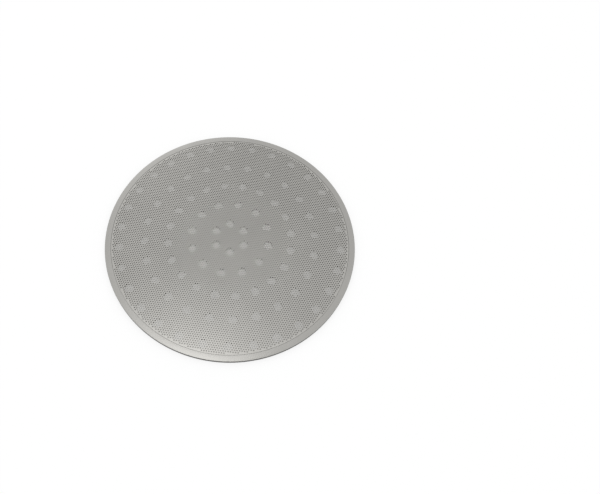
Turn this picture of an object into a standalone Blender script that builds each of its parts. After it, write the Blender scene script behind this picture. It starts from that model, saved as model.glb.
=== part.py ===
"""Espresso puck screen: a perforated plate with a fine foil bonded into its seat.

The screen lies on its plate face with the fine face up. The origin is at the
centre of the underside and +Z is the disc's axis. Units are metres.
"""

import math

import bmesh
import bpy
from mathutils import Matrix

# Disc
SCREEN_DIAMETER = 0.051
SCREEN_THICKNESS = 0.0008
EDGE_RADIUS = 0.0001
EDGE_STEPS = 3
TURNED_SIDES = 120

# Plain rim round the fine face, and the foil that lies in the seat inside it
RIM_WIDTH = 0.0012
RIM_STAND = 0.00005
FOIL_THICKNESS = 0.00015
FOIL_PLAY = 0.00005

# Flow holes through the plate. The margin is from the seat's edge to the outermost ring
FLOW_HOLE_DIAMETER = 0.0018
FLOW_HOLE_SIDES = 16
FLOW_EDGE_MARGIN = 0.00163
# Share of the outermost ring's radius, number of holes, angle of the first hole
FLOW_RINGS = (
    (1.0, 30, 5.2),
    (0.7706, 24, 2.0),
    (0.5585, 20, 4.95),
    (0.352, 12, 17.2),
    (0.143, 6, 30.0),
)

# One six-sided opening in the foil over each flow hole, in line with the foil's rows
FOIL_OPENING_SHARE = 0.5
FOIL_OPENING_SIDES = 6
FOIL_ROW_ANGLE = -7.6

# Sizes that follow from those above
SCREEN_RADIUS = SCREEN_DIAMETER / 2
SEAT_RADIUS = SCREEN_RADIUS - RIM_WIDTH
SEAT_HEIGHT = SCREEN_THICKNESS - RIM_STAND - FOIL_THICKNESS
FOIL_RADIUS = SEAT_RADIUS - FOIL_PLAY
FOIL_TOP = SEAT_HEIGHT + FOIL_THICKNESS
FLOW_FIELD_RADIUS = SEAT_RADIUS - FLOW_EDGE_MARGIN
FOIL_OPENING = FLOW_HOLE_DIAMETER * FOIL_OPENING_SHARE
PUNCH_LENGTH = 3 * SCREEN_THICKNESS

# Steps between faces that turn less than this are shaded smooth, and points nearer than this are one
SMOOTH_BELOW = 35.0
WELD_DISTANCE = 1e-7


def clear_scene():
    for item in list(bpy.data.objects):
        bpy.data.objects.remove(item, do_unlink=True)


def new_collection(name, hidden=False):
    group = bpy.data.collections.new(name)
    group.hide_render = hidden
    bpy.context.scene.collection.children.link(group)
    return group


def steel(name, colour, roughness):
    """Stainless steel of one tone."""
    material = bpy.data.materials.new(name)
    material.use_nodes = True
    shader = material.node_tree.nodes["Principled BSDF"]
    shader.inputs["Base Color"].default_value = (*colour, 1.0)
    shader.inputs["Metallic"].default_value = 1.0
    shader.inputs["Roughness"].default_value = roughness
    material.diffuse_color = (*colour, 1.0)
    return material


def add_object(name, mesh, group, material=None):
    item = bpy.data.objects.new(name, mesh)
    group.objects.link(item)
    if material:
        mesh.materials.append(material)
        mesh.shade_smooth()
        mesh.set_sharp_from_angle(angle=math.radians(SMOOTH_BELOW))
    return item


def rounded_corner(radius, height, turn_from):
    """Points of a quarter round whose centre is at (radius, height)."""
    points = []
    for step in range(EDGE_STEPS + 1):
        angle = math.radians(turn_from - 90.0 * step / EDGE_STEPS)
        points.append(
            (
                radius + EDGE_RADIUS * math.cos(angle),
                height + EDGE_RADIUS * math.sin(angle),
            )
        )
    return points


def turned(name, profile):
    """A profile of (radius, height) points turned about Z, with a flat face at each end."""
    shape = bmesh.new()
    verts = [shape.verts.new((radius, 0.0, height)) for radius, height in profile]
    edges = [shape.edges.new(pair) for pair in zip(verts, verts[1:])]
    bmesh.ops.spin(
        shape,
        geom=verts + edges,
        cent=(0.0, 0.0, 0.0),
        axis=(0.0, 0.0, 1.0),
        angle=math.tau,
        steps=TURNED_SIDES,
        use_merge=True,
    )
    bmesh.ops.remove_doubles(shape, verts=shape.verts, dist=WELD_DISTANCE)
    bmesh.ops.holes_fill(shape, edges=shape.edges, sides=0)
    bmesh.ops.recalc_face_normals(shape, faces=shape.faces)
    mesh = bpy.data.meshes.new(name)
    shape.to_mesh(mesh)
    shape.free()
    return mesh


def ring_centres():
    """Centre of every flow hole, ring by ring from the rim inwards."""
    for share, count, start in FLOW_RINGS:
        for index in range(count):
            angle = math.radians(start) + math.tau * index / count
            radius = share * FLOW_FIELD_RADIUS
            yield radius * math.cos(angle), radius * math.sin(angle)


def punches(name, diameter, sides, turn, group):
    """A set of upright prisms, one at each flow hole, that pass right through the disc."""
    shape = bmesh.new()
    for x, y in ring_centres():
        place = Matrix.Translation((x, y, SCREEN_THICKNESS / 2))
        bmesh.ops.create_cone(
            shape,
            cap_ends=True,
            segments=sides,
            radius1=diameter / 2,
            radius2=diameter / 2,
            depth=PUNCH_LENGTH,
            matrix=place @ Matrix.Rotation(turn, 4, "Z"),
        )
    mesh = bpy.data.meshes.new(name)
    shape.to_mesh(mesh)
    shape.free()
    item = add_object(name, mesh, group)
    item.display_type = "WIRE"
    item.hide_render = True
    return item


def cut(item, cutter):
    boolean = item.modifiers.new(cutter.name, "BOOLEAN")
    boolean.operation = "DIFFERENCE"
    boolean.object = cutter
    boolean.solver = "EXACT"


def build_plate(parts, cutters):
    corner = SCREEN_RADIUS - EDGE_RADIUS
    profile = [(SEAT_RADIUS, SEAT_HEIGHT), (SEAT_RADIUS, SCREEN_THICKNESS)]
    profile += rounded_corner(corner, SCREEN_THICKNESS - EDGE_RADIUS, 90.0)
    profile += rounded_corner(corner, EDGE_RADIUS, 0.0)
    plate = add_object(
        "perforated_plate",
        turned("perforated_plate", profile),
        parts,
        steel("plate_steel", (0.42, 0.415, 0.40), 0.34),
    )
    holes = punches("flow_holes", FLOW_HOLE_DIAMETER, FLOW_HOLE_SIDES, 0.0, cutters)
    cut(plate, holes)
    return plate


def build_foil(parts, cutters):
    profile = [(FOIL_RADIUS, FOIL_TOP), (FOIL_RADIUS, SEAT_HEIGHT)]
    foil = add_object(
        "etched_foil",
        turned("etched_foil", profile),
        parts,
        steel("foil_steel", (0.36, 0.355, 0.34), 0.42),
    )
    openings = punches(
        "foil_openings",
        FOIL_OPENING,
        FOIL_OPENING_SIDES,
        math.radians(FOIL_ROW_ANGLE),
        cutters,
    )
    cut(foil, openings)
    return foil


def main():
    clear_scene()
    parts = new_collection("puck_screen")
    cutters = new_collection("cutters", hidden=True)
    build_plate(parts, cutters)
    build_foil(parts, cutters)


main()
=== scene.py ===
import math

import bmesh
import bpy
from bpy.props import FloatProperty, FloatVectorProperty, IntProperty, PointerProperty
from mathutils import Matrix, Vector


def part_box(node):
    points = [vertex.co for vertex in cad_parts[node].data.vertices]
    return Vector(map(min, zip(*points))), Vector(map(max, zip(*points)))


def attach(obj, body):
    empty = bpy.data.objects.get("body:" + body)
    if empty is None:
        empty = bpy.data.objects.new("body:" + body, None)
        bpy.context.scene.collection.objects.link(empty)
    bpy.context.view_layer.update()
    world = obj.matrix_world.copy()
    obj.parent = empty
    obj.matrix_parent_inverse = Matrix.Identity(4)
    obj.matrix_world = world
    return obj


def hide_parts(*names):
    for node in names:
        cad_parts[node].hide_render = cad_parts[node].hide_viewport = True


bl_info = {
    "name": "Puck Screen Looks",
    "version": (1, 0, 0),
    "blender": (4, 5, 0),
    "location": "3D View > Sidebar > Puck Screen",
    "description": "Builds the finish of a perforated espresso puck screen and its stage",
    "category": "Object",
}

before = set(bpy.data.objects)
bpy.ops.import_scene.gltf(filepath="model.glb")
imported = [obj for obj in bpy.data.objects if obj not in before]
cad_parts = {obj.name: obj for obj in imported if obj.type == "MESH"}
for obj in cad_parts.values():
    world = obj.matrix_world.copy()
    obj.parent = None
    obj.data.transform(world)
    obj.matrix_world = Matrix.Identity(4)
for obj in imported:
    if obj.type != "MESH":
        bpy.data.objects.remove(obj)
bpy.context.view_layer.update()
PLATE_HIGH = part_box("perforated_plate")[1]
FOIL_LOW, FOIL_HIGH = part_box("etched_foil")

# Flow holes of the plate: share of the outermost ring's radius, number, angle of the first
FLOW_RINGS = (
    (1.0, 30, 5.2),
    (0.7706, 24, 2.0),
    (0.5585, 20, 4.95),
    (0.352, 12, 17.2),
    (0.143, 6, 30.0),
)
HEX_TURN = math.pi / 3
# Depth of a fine hole over the plate's land, as a share of the foil's thickness
PIT_SHARE = 0.93
# Flat steps in each quarter round of the disc's edge
EDGE_STEPS = 6
# Broken edge where the rim drops to the seat
SEAT_BEVEL = 0.00002
# Points nearer than this are merged, in whole pieces and in the grid of fine holes
WELD_DISTANCE = 1e-7
GRID_WELD_DISTANCE = 1e-6
# Steps between faces that turn less than this are shaded smooth
SMOOTH_BELOW = math.radians(35)

# Steel: roughness of a level face, how much its clouds add, and the depth of its grain
FACE_ROUGHNESS = 0.27
CLOUD_ROUGHNESS = 0.04
GRAIN_DEPTH = 0.00002
# Roughness that the plate's cut walls and the fine holes' walls add
PLATE_WALL_ROUGHNESS = 0.6
FOIL_WALL_ROUGHNESS = 0.4
# Painted shade on the seat's and the flow holes' walls: their tone, as a share of the cut edge's
INNER_WALL_SHADE_SHARE = 0.12
# Painted shade on the floors of the fine holes: how far they go towards the colour of their walls
PIT_FLOOR_SHADE_SHARE = 0.32

PHOTO_WIDTH = 600
PHOTO_HEIGHT = 494
# Name, place, width and power of each lamp; all of them point at the disc
LAMPS = (
    ("overhead", (-0.05, 0.03, 0.45), 0.14, 0.10),
    ("back_left", (-0.25, 0.75, 0.75), 0.5, 0.25),
)
FLOOR_HALF_WIDTH = 0.6
FLOOR_DROP = 0.00002
# Share of white that the camera sees in the floor, under the disc's holes and beyond its edge; the
# lower share under the disc is painted shade
GLOW_UNDER = 0.33
GLOW_BEYOND = 0.75
# Where that change starts, as a share of the disc's radius
GLOW_START = 0.97


class Value:
    """A node's output that can be used in arithmetic; each operation adds a Math node."""

    def __init__(self, graph, socket):
        self.graph = graph
        self.socket = socket

    def math(self, operation, *others):
        inputs = dict(enumerate((self, *others)))
        return self.graph.add("ShaderNodeMath", {"operation": operation}, inputs)

    def __add__(self, other):
        return self.math("ADD", other)

    __radd__ = __add__

    def __mul__(self, other):
        return self.math("MULTIPLY", other)

    __rmul__ = __mul__

    def __sub__(self, other):
        return self.math("SUBTRACT", other)

    def __rsub__(self, other):
        return self.graph.add("ShaderNodeMath", {"operation": "SUBTRACT"}, {0: other, 1: self})

    def __truediv__(self, other):
        return self.math("DIVIDE", other)

    def __gt__(self, other):
        return self.math("GREATER_THAN", other)

    def __lt__(self, other):
        return self.math("LESS_THAN", other)

    def __mod__(self, other):
        return self.math("FLOORED_MODULO", other)

    def __abs__(self):
        return self.math("ABSOLUTE")


class Graph:
    """A node tree that is filled node by node."""

    def __init__(self, tree):
        self.tree = tree

    def feed(self, socket, value):
        """Links a value, or each of a list of them, to a socket, or sets its constant."""
        if isinstance(value, list):
            for item in value:
                self.feed(socket, item)
        elif isinstance(value, Value):
            self.tree.links.new(value.socket, socket)
        else:
            socket.default_value = value

    def add(self, kind, settings=None, inputs=None, output=0):
        """Adds a node with its settings and its inputs, and gives one of its outputs."""
        node = self.tree.nodes.new(kind)
        for name, value in (settings or {}).items():
            setattr(node, name, value)
        for key, value in (inputs or {}).items():
            self.feed(node.inputs[key], value)
        return Value(self, node.outputs[output]) if node.outputs else None

    def other(self, value, output):
        """Another output of the node that a value comes from."""
        return Value(self, value.socket.node.outputs[output])


def nodes_graph(name, sizes):
    """A new geometry tree with a mesh going in and out, and an input for each named size."""
    tree = bpy.data.node_groups.new(name, "GeometryNodeTree")
    for direction in ("INPUT", "OUTPUT"):
        tree.interface.new_socket("Mesh", in_out=direction, socket_type="NodeSocketGeometry")
    for size in sizes:
        tree.interface.new_socket(size, in_out="INPUT", socket_type="NodeSocketFloat")
    return Graph(tree)


def empty_graph(tree):
    """The graph of a material's or a world's tree, with the nodes that it came with taken out."""
    tree.nodes.clear()
    return Graph(tree)


def tree_inputs(graph):
    """Every input of a geometry tree by its name."""
    node = graph.tree.nodes.new("NodeGroupInput")
    return {socket.name: Value(graph, socket) for socket in node.outputs if socket.name}


def finish_tree(graph, mesh, material):
    """Ends a tree in Realize Instances and Set Material."""
    plain = graph.add("GeometryNodeRealizeInstances", inputs={"Geometry": mesh})
    done = graph.add("GeometryNodeSetMaterial", inputs={"Geometry": plain, "Material": material})
    end = graph.tree.nodes.new("NodeGroupOutput")
    graph.feed(end.inputs[0], done)


def grow(name, graph, sizes, start=None):
    """Runs a tree with its named sizes and keeps the result as a plain mesh object."""
    mesh = start or bpy.data.meshes.new(name)
    item = bpy.data.objects.new(name, mesh)
    bpy.context.scene.collection.objects.link(item)
    modifier = item.modifiers.new("grow", "NODES")
    modifier.node_group = graph.tree
    for socket in graph.tree.interface.items_tree:
        if socket.in_out == "INPUT" and socket.name in sizes:
            modifier[socket.identifier] = sizes[socket.name]
    view = bpy.context.evaluated_depsgraph_get()
    made = bpy.data.meshes.new_from_object(item.evaluated_get(view))
    item.modifiers.clear()
    item.data = made
    made.name = name
    bpy.data.meshes.remove(mesh)
    return item


def close_up(item):
    """Joins loose edges, splits faces into outward triangles and shades gentle steps smooth."""
    shape = bmesh.new()
    shape.from_mesh(item.data)
    bmesh.ops.remove_doubles(shape, verts=shape.verts, dist=WELD_DISTANCE)
    bmesh.ops.dissolve_degenerate(shape, edges=shape.edges, dist=WELD_DISTANCE)
    bmesh.ops.triangulate(shape, faces=shape.faces)
    bmesh.ops.recalc_face_normals(shape, faces=shape.faces)
    if shape.calc_volume(signed=True) < 0.0:
        bmesh.ops.reverse_faces(shape, faces=shape.faces)
    shape.to_mesh(item.data)
    shape.free()
    item.data.shade_smooth()
    item.data.set_sharp_from_angle(angle=SMOOTH_BELOW)


class ScreenSizes(bpy.types.PropertyGroup):
    """Sizes of the disc, its flow holes and its fine holes."""

    rim_width: FloatProperty(
        name="Rim width",
        description="Width of the plain rim round the fine face",
        default=0.00121,
        unit="LENGTH",
        precision=5,
    )
    edge_radius: FloatProperty(
        name="Edge radius",
        description="Rounding of both corners of the disc's edge",
        default=0.0001,
        unit="LENGTH",
        precision=5,
    )
    flow_hole: FloatProperty(
        name="Flow hole",
        description="Diameter of the plate's flow holes",
        default=0.0018,
        unit="LENGTH",
        precision=5,
    )
    flow_margin: FloatProperty(
        name="Flow hole margin",
        description="Distance from the seat's edge to the middles of the outermost flow holes",
        default=0.00162,
        unit="LENGTH",
        precision=5,
    )
    flow_chamfer: FloatProperty(
        name="Flow hole chamfer",
        description="Broken edge at the mouth of each flow hole, on the underside",
        default=0.00006,
        unit="LENGTH",
        precision=5,
    )
    fine_pitch: FloatProperty(
        name="Fine pitch",
        description="Distance between the middles of neighbouring fine holes",
        default=0.000467,
        unit="LENGTH",
        precision=6,
    )
    fine_hole: FloatProperty(
        name="Fine hole",
        description="Size of a fine hole from flat to flat",
        default=0.000267,
        unit="LENGTH",
        precision=6,
    )
    fine_turn: FloatProperty(
        name="Row angle",
        description="Direction of the rows of fine holes, from the disc's X axis",
        default=math.radians(-7.6),
        subtype="ANGLE",
    )
    fine_margin: FloatProperty(
        name="Fine margin",
        description="Least steel between the outermost fine holes and the foil's edge",
        default=0.00002,
        unit="LENGTH",
        precision=5,
    )
    sides: IntProperty(
        name="Sides",
        description="Number of flat sides that stand for the disc's round edge",
        default=288,
        min=24,
    )
    flow_sides: IntProperty(
        name="Flow hole sides",
        description="Number of flat sides that stand for a round flow hole",
        default=36,
        min=8,
    )


class ScreenFinish(bpy.types.PropertyGroup):
    """Colours of the steel, with the painted shade of its cut walls and fine holes."""

    plate_colour: FloatVectorProperty(
        name="Plate",
        description="Colour of the plate and the rim",
        default=(0.370, 0.364, 0.347),
        subtype="COLOR",
        min=0.0,
        max=1.0,
    )
    # Partly the sheared edge's own duller tone, partly painted shade that makes the cut walls a
    # dark line
    edge_and_shade_colour: FloatVectorProperty(
        name="Cut edge",
        description="Colour of the disc's cut edge",
        default=(0.18, 0.177, 0.172),
        subtype="COLOR",
        min=0.0,
        max=1.0,
    )
    foil_colour: FloatVectorProperty(
        name="Foil",
        description="Colour of the foil between its fine holes",
        default=(0.405, 0.398, 0.378),
        subtype="COLOR",
        min=0.0,
        max=1.0,
    )
    # Painted shade: the dark inside the fine holes, where little light gets in
    pit_shade_colour: FloatVectorProperty(
        name="Fine holes",
        description="Colour of the fine holes' walls",
        default=(0.02, 0.0195, 0.019),
        subtype="COLOR",
        min=0.0,
        max=1.0,
    )


class StageSettings(bpy.types.PropertyGroup):
    """Where the camera stands, where it shows the disc, and the colour of the floor."""

    elevation: FloatProperty(
        name="Camera elevation",
        description="Angle of the camera above the floor",
        default=math.radians(63.29),
        subtype="ANGLE",
    )
    distance: FloatProperty(
        name="Camera distance",
        description="Distance from the camera to the middle of the disc",
        default=0.10472,
        unit="LENGTH",
    )
    focal: FloatProperty(
        name="Focal length",
        description="Focal length on a sensor 36 mm wide, in millimetres",
        default=30.64,
    )
    middle_x: FloatProperty(
        name="Middle across",
        description="Place of the disc's middle in the picture, in pixels from the left",
        default=229.82,
    )
    middle_y: FloatProperty(
        name="Middle down",
        description="Place of the disc's middle in the picture, in pixels from the top",
        default=237.15,
    )
    floor_colour: FloatVectorProperty(
        name="Floor",
        description="Colour of the floor and the background",
        default=(0.95, 0.95, 0.95),
        subtype="COLOR",
        min=0.0,
        max=1.0,
    )


def turned(name, profile, sides):
    """A profile of (radius, height) points turned about Z, with a flat face at each end."""
    shape = bmesh.new()
    verts = [shape.verts.new((radius, 0.0, height)) for radius, height in profile]
    edges = [shape.edges.new(pair) for pair in zip(verts, verts[1:])]
    bmesh.ops.spin(
        shape,
        geom=verts + edges,
        axis=(0.0, 0.0, 1.0),
        angle=math.tau,
        steps=sides,
        use_merge=True,
    )
    bmesh.ops.remove_doubles(shape, verts=shape.verts, dist=WELD_DISTANCE)
    bmesh.ops.holes_fill(shape, edges=shape.edges, sides=0)
    bmesh.ops.recalc_face_normals(shape, faces=shape.faces)
    mesh = bpy.data.meshes.new(name)
    shape.to_mesh(mesh)
    shape.free()
    return mesh


def quarter_round(radius, height, rounding, turn_from):
    """Points of a quarter round whose centre is at (radius, height)."""
    angles = [turn_from - math.pi / 2 * step / EDGE_STEPS for step in range(EDGE_STEPS + 1)]
    return [
        (radius + rounding * math.cos(angle), height + rounding * math.sin(angle))
        for angle in angles
    ]


def flow_hole_points(graph, radius):
    """A point at the middle of every flow hole, in a plane at height 0."""
    rings = []
    for share, count, start in FLOW_RINGS:
        ring = graph.add(
            "GeometryNodeMeshCircle",
            {"fill_type": "NONE"},
            {"Vertices": count, "Radius": share * radius},
        )
        turned_ring = graph.add(
            "GeometryNodeTransform",
            inputs={"Geometry": ring, "Rotation": (0.0, 0.0, math.radians(start))},
        )
        rings.append(turned_ring)
    joined = graph.add("GeometryNodeJoinGeometry", inputs={"Geometry": rings})
    return graph.add("GeometryNodeMeshToPoints", inputs={"Mesh": joined})


def plate_tree(sizes, material):
    """Cuts the flow holes, each with a broken edge at its lower mouth, from a turned blank."""
    graph = nodes_graph("flow_holes", ("Hole diameter", "Ring radius", "Chamfer", "Thickness"))
    given = tree_inputs(graph)
    radius = given["Hole diameter"] * 0.5
    points = flow_hole_points(graph, given["Ring radius"])
    bore = graph.add(
        "GeometryNodeMeshCylinder",
        {"fill_type": "NGON"},
        {"Vertices": sizes.flow_sides, "Radius": radius, "Depth": given["Thickness"] * 4.0},
    )
    # A cone with sides at 45 degrees, one chamfer wider than the hole at the underside
    chamfer = given["Chamfer"]
    mouth = graph.add(
        "GeometryNodeMeshCone",
        {"fill_type": "NGON"},
        {
            "Vertices": sizes.flow_sides,
            "Radius Top": radius - chamfer,
            "Radius Bottom": radius + chamfer * 3.0,
            "Depth": chamfer * 4.0,
        },
    )
    lowered = graph.add(
        "GeometryNodeTransform",
        inputs={"Geometry": mouth, "Translation": combine(graph, 0.0, 0.0, chamfer * -2.0)},
    )
    punches = []
    for tool in (bore, lowered):
        copies = graph.add(
            "GeometryNodeInstanceOnPoints", inputs={"Points": points, "Instance": tool}
        )
        punches.append(graph.add("GeometryNodeRealizeInstances", inputs={"Geometry": copies}))
    cut = graph.add(
        "GeometryNodeMeshBoolean",
        {"operation": "DIFFERENCE", "solver": "EXACT"},
        {"Mesh 1": given["Mesh"], "Mesh 2": punches, "Self Intersection": True},
    )
    finish_tree(graph, cut, material)
    return graph


def combine(graph, x, y, z):
    """A vector from its three parts."""
    return graph.add("ShaderNodeCombineXYZ", inputs={0: x, 1: y, 2: z})


def length(graph, vector):
    """How long a vector is."""
    return graph.add(
        "ShaderNodeVectorMath", {"operation": "LENGTH"}, {0: vector}, output="Value"
    )


def lattice_place(graph, pitch, turn):
    """Where each point of a square grid goes so that the grid becomes rows of a hexagonal one."""
    position = graph.add("GeometryNodeInputPosition")
    across = graph.add("ShaderNodeSeparateXYZ", inputs={0: position})
    row = graph.other(across, 1).math("ROUND")
    column = across.math("ROUND") + (row % 2.0) * 0.5
    flat = combine(graph, column * pitch, row * pitch * (math.sqrt(3) / 2), 0.0)
    return graph.add(
        "ShaderNodeVectorRotate", {"rotation_type": "Z_AXIS"}, {"Vector": flat, "Angle": turn}
    )


def inside(graph, position, pitch, turn, steps, limit):
    """1 where the neighbour so many sixths of a turn round a point is still a fine hole."""
    angle = turn + steps * HEX_TURN
    step = combine(graph, angle.math("COSINE") * pitch, angle.math("SINE") * pitch, 0.0)
    there = graph.add("ShaderNodeVectorMath", {"operation": "ADD"}, {0: position, 1: step})
    return length(graph, there) < limit


def blind_hole(graph, corner, depth):
    """A hole with a six-sided mouth and a flat floor, the least triangle that holds the mouth."""
    wall = graph.add(
        "GeometryNodeMeshCylinder",
        {"fill_type": "NONE"},
        {"Vertices": 6, "Radius": corner, "Depth": depth},
    )
    position = graph.add("GeometryNodeInputPosition")
    across = graph.add("ShaderNodeSeparateXYZ", inputs={0: position})
    height = graph.other(across, 2)
    # Every second corner of the lower end goes to the same corner of the floor as the one before it
    third = 2 * HEX_TURN
    pair = (graph.other(across, 1).math("ARCTAN2", across) / third + 0.25).math("FLOOR")
    angle = pair * third + HEX_TURN / 2
    reach = corner * math.sqrt(3)
    place = combine(graph, angle.math("COSINE") * reach, angle.math("SINE") * reach, height)
    drawn_in = graph.add(
        "GeometryNodeSetPosition",
        inputs={"Geometry": wall, "Selection": height < 0.0, "Position": place},
    )
    bottom = graph.add(
        "GeometryNodeMeshCircle", {"fill_type": "NGON"}, {"Vertices": 3, "Radius": reach}
    )
    lowered = graph.add(
        "GeometryNodeTransform",
        inputs={
            "Geometry": bottom,
            "Translation": combine(graph, 0.0, 0.0, depth * -0.5),
            "Rotation": (0.0, 0.0, HEX_TURN / 2),
        },
    )
    return graph.add("GeometryNodeJoinGeometry", inputs={"Geometry": [drawn_in, lowered]})


def foil_tree(sizes, material):
    """Hexagonal grid of fine holes: pits over the plate's land, open over its flow holes."""
    hole_sizes = ("Pitch", "Hole", "Row angle", "Ring radius", "Flow radius")
    foil_sizes = ("Foil radius", "Margin", "Bottom", "Top")
    graph = nodes_graph("fine_holes", hole_sizes + foil_sizes)
    given = tree_inputs(graph)
    pitch, turn = given["Pitch"], given["Row angle"]
    # A fine hole's reach from its middle to a corner
    corner = given["Hole"] * (0.5 / math.cos(HEX_TURN / 2))
    # The corners of a blind hole's floor reach further than its mouth, and stay inside the edge
    limit = given["Foil radius"] - given["Margin"] - corner * math.sqrt(3)
    depth = given["Top"] - given["Bottom"]

    # Points of the grid that lie inside the foil's margin
    reach = FOIL_HIGH.x / sizes.fine_pitch
    columns = 2 * math.ceil(reach + 1) + 1
    rows = 2 * math.ceil(reach * 2 / math.sqrt(3)) + 1
    grid = graph.add(
        "GeometryNodeMeshGrid",
        inputs={
            "Size X": float(columns - 1),
            "Size Y": float(rows - 1),
            "Vertices X": columns,
            "Vertices Y": rows,
        },
    )
    hexed = graph.add(
        "GeometryNodeSetPosition",
        inputs={"Geometry": grid, "Position": lattice_place(graph, pitch, turn)},
    )
    points = graph.add("GeometryNodeMeshToPoints", inputs={"Mesh": hexed})
    position = graph.add("GeometryNodeInputPosition")
    off_middle = length(graph, position)
    kept = graph.add(
        "GeometryNodeDeleteGeometry",
        {"domain": "POINT"},
        {"Geometry": points, "Selection": 1.0 - (off_middle < limit)},
    )

    def spread(shape, selection):
        """Copies a shape to those of the kept points that are selected, at the foil's top."""
        copies = graph.add(
            "GeometryNodeInstanceOnPoints",
            inputs={
                "Points": kept,
                "Instance": shape,
                "Rotation": combine(graph, 0.0, 0.0, turn),
                "Selection": selection,
            },
        )
        plain = graph.add("GeometryNodeRealizeInstances", inputs={"Geometry": copies})
        return graph.add(
            "GeometryNodeTransform",
            inputs={"Geometry": plain, "Translation": combine(graph, 0.0, 0.0, given["Top"])},
        )

    def moved(shape, away, angle, height=0.0, spun=0.0):
        """Moves a shape out along an angle and turns it by that angle and a further one."""
        place = combine(graph, away * math.cos(angle), away * math.sin(angle), height)
        return graph.add(
            "GeometryNodeTransform",
            inputs={"Geometry": shape, "Translation": place, "Rotation": (0.0, 0.0, angle + spun)},
        )

    # Web of the upper face: a rectangle between two neighbours, a triangle between three
    neighbours = [inside(graph, position, pitch, turn, step, limit) for step in range(3)]
    bridge = graph.add(
        "GeometryNodeMeshGrid",
        inputs={
            "Size X": pitch - given["Hole"],
            "Size Y": corner,
            "Vertices X": 2,
            "Vertices Y": 2,
        },
    )
    web = [
        spread(moved(bridge, pitch * 0.5, step * HEX_TURN), neighbours[step])
        for step in range(3)
    ]
    to_gusset = pitch * (1 / math.sqrt(3))
    gusset = graph.add(
        "GeometryNodeMeshCircle",
        {"fill_type": "NGON"},
        {"Vertices": 3, "Radius": to_gusset - corner},
    )
    for step in range(2):
        middle = (step + 0.5) * HEX_TURN
        both = neighbours[step] * neighbours[step + 1]
        web.append(spread(moved(gusset, to_gusset, middle, spun=math.pi), both))

    # Holes that end on the plate's land, and holes that go right through over a flow hole
    flow_points = flow_hole_points(graph, given["Ring radius"])
    near = graph.add(
        "GeometryNodeProximity",
        {"target_element": "POINTS"},
        {"Geometry": flow_points},
        output="Distance",
    )
    is_open = near < given["Flow radius"]
    pit_depth = depth * PIT_SHARE
    pit = blind_hole(graph, corner, pit_depth)
    pits = spread(moved(pit, 0.0, HEX_TURN / 2, height=pit_depth * -0.5), 1.0 - is_open)
    bore = graph.add(
        "GeometryNodeMeshCylinder",
        {"fill_type": "NONE"},
        {"Vertices": 6, "Radius": corner, "Depth": depth},
    )
    bores = spread(moved(bore, 0.0, HEX_TURN / 2, height=depth * -0.5), is_open)
    parts = graph.add("GeometryNodeJoinGeometry", inputs={"Geometry": [*web, pits, bores]})
    field = graph.add(
        "GeometryNodeMergeByDistance", inputs={"Geometry": parts, "Distance": GRID_WELD_DISTANCE}
    )

    # The ragged outline of that field, filled out to the foil's round edge
    faces = graph.add("GeometryNodeInputMeshEdgeNeighbors")
    height = graph.other(graph.add("ShaderNodeSeparateXYZ", inputs={0: position}), 2)
    half_way = (given["Top"] + given["Bottom"]) * 0.5
    # An edge with a face on one side only
    open_edge = faces < 1.5
    upper = height > half_way
    rim = graph.add(
        "GeometryNodeMeshCircle",
        {"fill_type": "NONE"},
        {"Vertices": sizes.sides, "Radius": given["Foil radius"]},
    )

    def filled(selection, raised):
        """A flat sheet between the selected edges of the field and the foil's edge, at a height."""
        outline = graph.add(
            "GeometryNodeMeshToCurve", inputs={"Mesh": field, "Selection": selection}
        )
        edge = graph.add("GeometryNodeMeshToCurve", inputs={"Mesh": rim})
        both = graph.add("GeometryNodeJoinGeometry", inputs={"Geometry": [outline, edge]})
        sheet = graph.add("GeometryNodeFillCurve", inputs={"Curve": both})
        return graph.add(
            "GeometryNodeTransform",
            inputs={"Geometry": sheet, "Translation": combine(graph, 0.0, 0.0, raised)},
        )

    margin = filled(open_edge * upper, given["Top"])
    under = filled(open_edge * (1.0 - upper), given["Bottom"])
    side = graph.add(
        "GeometryNodeMeshCylinder",
        {"fill_type": "NONE"},
        {"Vertices": sizes.sides, "Radius": given["Foil radius"], "Depth": depth},
    )
    lifted = graph.add(
        "GeometryNodeTransform",
        inputs={"Geometry": side, "Translation": combine(graph, 0.0, 0.0, half_way)},
    )
    whole = graph.add(
        "GeometryNodeJoinGeometry", inputs={"Geometry": [field, margin, under, lifted]}
    )
    closed = graph.add(
        "GeometryNodeMergeByDistance", inputs={"Geometry": whole, "Distance": GRID_WELD_DISTANCE}
    )
    finish_tree(graph, closed, material)
    return graph


def smooth_mask(value, start, end):
    """0 at start and 1 at end, easing in between."""
    return value.graph.add(
        "ShaderNodeMapRange",
        {"interpolation_type": "SMOOTHSTEP"},
        {"Value": value, "From Min": start, "From Max": end},
    )


def mix_colour(graph, share, first, second):
    """A colour that goes from the first to the second as the share goes from 0 to 1."""
    first, second = [
        colour if isinstance(colour, Value) else (*colour, 1.0) for colour in (first, second)
    ]
    return graph.add(
        "ShaderNodeMix", {"data_type": "RGBA"}, {"Factor": share, 6: first, 7: second}, output=2
    )


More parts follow.
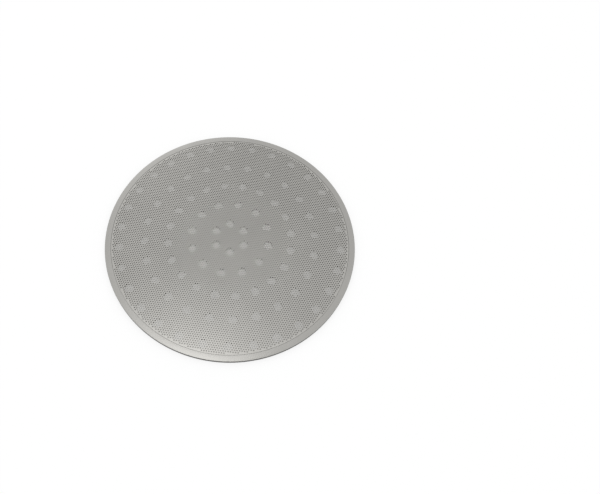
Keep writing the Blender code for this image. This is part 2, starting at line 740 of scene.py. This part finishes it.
class Finish:
    """A metal surface: its material, its graph and the coordinates that its pattern follows."""

    def __init__(self, name):
        self.material = bpy.data.materials.new(name)
        self.material.use_nodes = True
        self.graph = empty_graph(self.material.node_tree)
        self.place = self.graph.other(self.graph.add("ShaderNodeTexCoord"), "Object")
        x = self.graph.add("ShaderNodeSeparateXYZ", inputs={0: self.place})
        self.z = self.graph.other(x, 2)
        self.off_middle = length(self.graph, combine(self.graph, x, self.graph.other(x, 1), 0.0))
        facing = self.graph.other(self.graph.add("ShaderNodeNewGeometry"), "True Normal")
        lean = self.graph.add("ShaderNodeSeparateXYZ", inputs={0: facing})
        # 0 on an upright face and 1 on a level one
        self.level = abs(self.graph.other(lean, 2))

    def noise(self, scale):
        """Noise that follows the piece; a higher scale is finer."""
        return self.graph.add(
            "ShaderNodeTexNoise",
            inputs={"Vector": self.place, "Scale": scale, "Detail": 3.0, "Roughness": 0.55},
        )

    def clouds(self, colour, scale, spread):
        """The noise of wide clouds, and a colour that they vary by a share either way."""
        cloudy = self.noise(scale)
        dark = [(1.0 - spread) * part for part in colour]
        pale = [min(1.0, (1.0 + spread) * part) for part in colour]
        return cloudy, mix_colour(self.graph, cloudy, dark, pale)

    def grain(self, scale, strength):
        """The normals of a fine grain."""
        height = self.noise(scale)
        return self.graph.add(
            "ShaderNodeBump",
            inputs={"Strength": strength, "Distance": GRAIN_DEPTH, "Height": height},
        )

    def done(self, colour, roughness, bump):
        """Ends the graph in a metal shader and gives the material."""
        shader = self.graph.add(
            "ShaderNodeBsdfPrincipled",
            inputs={
                "Base Color": colour,
                "Metallic": 1.0,
                "Roughness": roughness,
                "Normal": bump,
            },
        )
        self.graph.add("ShaderNodeOutputMaterial", inputs={"Surface": shader})
        return self.material


def plate_finish(sizes, finish):
    """Satin sheet steel with a fine grain, and a darker sheared edge that is partly its own duller
    tone and partly painted shade.
    """
    steel = Finish("satin_steel")
    graph = steel.graph
    cloudy, tone = steel.clouds(finish.plate_colour, scale=160.0, spread=0.07)
    # Every cut wall is dull and dark, partly its own tone and partly painted shade: the outer one
    # and, darker still with painted shade, the seat's and the holes'
    on_wall = smooth_mask(steel.level, start=0.85, end=0.45)
    mid_rim = PLATE_HIGH.x - sizes.rim_width / 2
    within_rim = smooth_mask(steel.off_middle, mid_rim, mid_rim - sizes.rim_width / 4)
    # Painted shade: inside the rim, the seat's wall and the flow holes' walls go darker still
    inner_shade_colour = [INNER_WALL_SHADE_SHARE * part for part in finish.edge_and_shade_colour]
    wall = mix_colour(graph, within_rim, finish.edge_and_shade_colour, inner_shade_colour)
    tone = mix_colour(graph, on_wall, tone, wall)
    roughness = FACE_ROUGHNESS + CLOUD_ROUGHNESS * cloudy + PLATE_WALL_ROUGHNESS * on_wall
    return steel.done(tone, roughness, steel.grain(scale=9000.0, strength=0.12))


def foil_finish(finish):
    """Thin etched steel, with painted shade down in its fine holes."""
    steel = Finish("etched_steel")
    graph = steel.graph
    cloudy, tone = steel.clouds(finish.foil_colour, scale=120.0, spread=0.06)
    # Painted shade: the walls of the fine holes are dark, and their floors are in part
    top, depth = FOIL_HIGH.z, FOIL_HIGH.z - FOIL_LOW.z
    floor = top - depth * PIT_SHARE
    below_top = smooth_mask(steel.z, start=top - depth * 0.02, end=top - depth * 0.15)
    above_floor = smooth_mask(steel.z, start=floor + depth * 0.01, end=floor + depth * 0.04)
    on_wall = below_top * above_floor
    on_floor = below_top - on_wall
    tone = mix_colour(graph, on_floor * PIT_FLOOR_SHADE_SHARE, tone, finish.pit_shade_colour)
    tone = mix_colour(graph, on_wall, tone, finish.pit_shade_colour)
    roughness = FACE_ROUGHNESS + CLOUD_ROUGHNESS * cloudy + FOIL_WALL_ROUGHNESS * on_wall
    return steel.done(tone, roughness, steel.grain(scale=7000.0, strength=0.15))


def ring_radius(sizes):
    """Radius of the outermost ring of flow holes."""
    return PLATE_HIGH.x - sizes.rim_width - sizes.flow_margin


def stand_for(item, node):
    """Hands a finished piece to the frame in place of its plain solid."""
    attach(item, "root")
    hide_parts(node)


class AddPlate(bpy.types.Operator):
    """Add the punched plate with its raised rim"""

    bl_idname = "puck_screen.add_plate"
    bl_label = "Plate"

    def execute(self, context):
        sizes, finish = context.scene.screen_sizes, context.scene.screen_finish
        radius, top, rounding = PLATE_HIGH.x, PLATE_HIGH.z, sizes.edge_radius
        seat, seat_height = radius - sizes.rim_width, FOIL_LOW.z
        profile = [
            (0.0, 0.0),
            *reversed(quarter_round(radius - rounding, rounding, rounding, 0.0)),
            *reversed(quarter_round(radius - rounding, top - rounding, rounding, math.pi / 2)),
            (seat + SEAT_BEVEL, top),
            (seat, top - SEAT_BEVEL),
            (seat, seat_height),
            (0.0, seat_height),
        ]
        blank = turned("plate", profile, sizes.sides)
        tree = plate_tree(sizes, plate_finish(sizes, finish))
        item = grow(
            "plate",
            tree,
            {
                "Hole diameter": sizes.flow_hole,
                "Ring radius": ring_radius(sizes),
                "Chamfer": sizes.flow_chamfer,
                "Thickness": top,
            },
            blank,
        )
        close_up(item)
        stand_for(item, "perforated_plate")
        return {"FINISHED"}


class AddFoil(bpy.types.Operator):
    """Add the etched foil with its fine holes"""

    bl_idname = "puck_screen.add_foil"
    bl_label = "Fine foil"

    def execute(self, context):
        sizes, finish = context.scene.screen_sizes, context.scene.screen_finish
        tree = foil_tree(sizes, foil_finish(finish))
        item = grow(
            "fine_foil",
            tree,
            {
                "Pitch": sizes.fine_pitch,
                "Hole": sizes.fine_hole,
                "Row angle": sizes.fine_turn,
                "Foil radius": FOIL_HIGH.x,
                "Margin": sizes.fine_margin,
                "Ring radius": ring_radius(sizes),
                "Flow radius": sizes.flow_hole * 0.5,
                "Bottom": FOIL_LOW.z,
                "Top": FOIL_HIGH.z,
            },
        )
        close_up(item)
        stand_for(item, "etched_foil")
        return {"FINISHED"}


def seen_directly(graph):
    """1 for rays from the camera, and for those that gloss or clear material sends on."""
    rays = graph.add("ShaderNodeLightPath")
    glossy = graph.other(rays, "Is Glossy Ray")
    transmission = graph.other(rays, "Is Transmission Ray")
    return rays.math("MAXIMUM", glossy.math("MAXIMUM", transmission))


class AddStage(bpy.types.Operator):
    """Add the pale floor, the soft light and the camera"""

    bl_idname = "puck_screen.add_stage"
    bl_label = "Stage"

    def execute(self, context):
        scene, stage = context.scene, context.scene.screen_stage
        scene.view_settings.view_transform = "Standard"
        self.add_floor(scene, stage)
        self.add_world(scene)
        for lamp in LAMPS:
            self.add_lamp(scene, *lamp)
        self.add_camera(scene, stage)
        return {"FINISHED"}

    def add_floor(self, scene, stage):
        shape = bmesh.new()
        bmesh.ops.create_grid(shape, x_segments=1, y_segments=1, size=FLOOR_HALF_WIDTH)
        mesh = bpy.data.meshes.new("floor")
        shape.to_mesh(mesh)
        shape.free()
        floor = bpy.data.objects.new("floor", mesh)
        floor.location.z = -FLOOR_DROP
        scene.collection.objects.link(floor)
        material = bpy.data.materials.new("pale_floor")
        material.use_nodes = True
        graph = empty_graph(material.node_tree)
        colour, white = (*stage.floor_colour, 1.0), (1.0, 1.0, 1.0, 1.0)
        matt = graph.add("ShaderNodeBsdfDiffuse", inputs={"Color": colour})
        glow = graph.add("ShaderNodeEmission", inputs={"Color": white, "Strength": 1.0})
        # Beyond the disc's edge the floor is seen nearly white, and under its holes less so, a
        # painted shade under the disc
        place = graph.other(graph.add("ShaderNodeTexCoord"), "Object")
        radius = PLATE_HIGH.x
        beyond = smooth_mask(length(graph, place), start=radius * GLOW_START, end=radius)
        share = seen_directly(graph) * (GLOW_UNDER + (GLOW_BEYOND - GLOW_UNDER) * beyond)
        seen = graph.add("ShaderNodeMixShader", inputs={0: share, 1: matt, 2: glow})
        # The floor has one side only, so that the disc's underside can be looked at from below
        below = graph.other(graph.add("ShaderNodeNewGeometry"), "Backfacing")
        clear = graph.add("ShaderNodeBsdfTransparent")
        one_sided = graph.add("ShaderNodeMixShader", inputs={0: below, 1: seen, 2: clear})
        graph.add("ShaderNodeOutputMaterial", inputs={"Surface": one_sided})
        mesh.materials.append(material)

    def add_world(self, scene):
        world = bpy.data.worlds.new("studio")
        world.use_nodes = True
        graph = empty_graph(world.node_tree)
        plain = graph.add(
            "ShaderNodeBackground", inputs={"Color": (1.0, 1.0, 1.0, 1.0), "Strength": 1.0}
        )
        graph.add("ShaderNodeOutputWorld", inputs={"Surface": plain})
        scene.world = world

    def add_lamp(self, scene, name, place, size, power):
        lamp = bpy.data.lights.new(name, "AREA")
        lamp.shape = "DISK"
        lamp.size = size
        lamp.energy = power
        item = bpy.data.objects.new(name, lamp)
        item.location = place
        item.rotation_euler = (-Vector(place)).to_track_quat("-Z", "Y").to_euler()
        scene.collection.objects.link(item)

    def add_camera(self, scene, stage):
        data = bpy.data.cameras.new("camera")
        data.lens = stage.focal
        data.shift_x = (PHOTO_WIDTH / 2 - stage.middle_x) / PHOTO_WIDTH
        data.shift_y = (stage.middle_y - PHOTO_HEIGHT / 2) / PHOTO_WIDTH
        data.clip_start = 0.001
        item = bpy.data.objects.new("camera", data)
        away = Vector((0.0, -math.cos(stage.elevation), math.sin(stage.elevation)))
        item.location = Vector((0.0, 0.0, PLATE_HIGH.z)) + away * stage.distance
        item.rotation_euler = (-away).to_track_quat("-Z", "Y").to_euler()
        scene.collection.objects.link(item)
        scene.camera = item


class ScreenPanel(bpy.types.Panel):
    """Sizes, colours and buttons of the puck screen"""

    bl_idname = "VIEW3D_PT_puck_screen"
    bl_label = "Puck Screen"
    bl_space_type = "VIEW_3D"
    bl_region_type = "UI"
    bl_category = "Puck Screen"

    def draw(self, context):
        column, scene = self.layout.column(), context.scene
        for group in (scene.screen_sizes, scene.screen_finish, scene.screen_stage):
            for name in group.__annotations__:
                column.prop(group, name)
            column.separator()
        for operator in (AddPlate, AddFoil, AddStage):
            column.operator(operator.bl_idname)


CLASSES = (ScreenSizes, ScreenFinish, StageSettings, AddPlate, AddFoil, AddStage, ScreenPanel)


def register():
    for item in CLASSES:
        bpy.utils.register_class(item)
    bpy.types.Scene.screen_sizes = PointerProperty(type=ScreenSizes)
    bpy.types.Scene.screen_finish = PointerProperty(type=ScreenFinish)
    bpy.types.Scene.screen_stage = PointerProperty(type=StageSettings)


def unregister():
    del bpy.types.Scene.screen_stage
    del bpy.types.Scene.screen_finish
    del bpy.types.Scene.screen_sizes
    for item in reversed(CLASSES):
        bpy.utils.unregister_class(item)


def main():
    register()
    bpy.ops.puck_screen.add_plate()
    bpy.ops.puck_screen.add_foil()
    bpy.ops.puck_screen.add_stage()


if __name__ == "__main__":
    main()
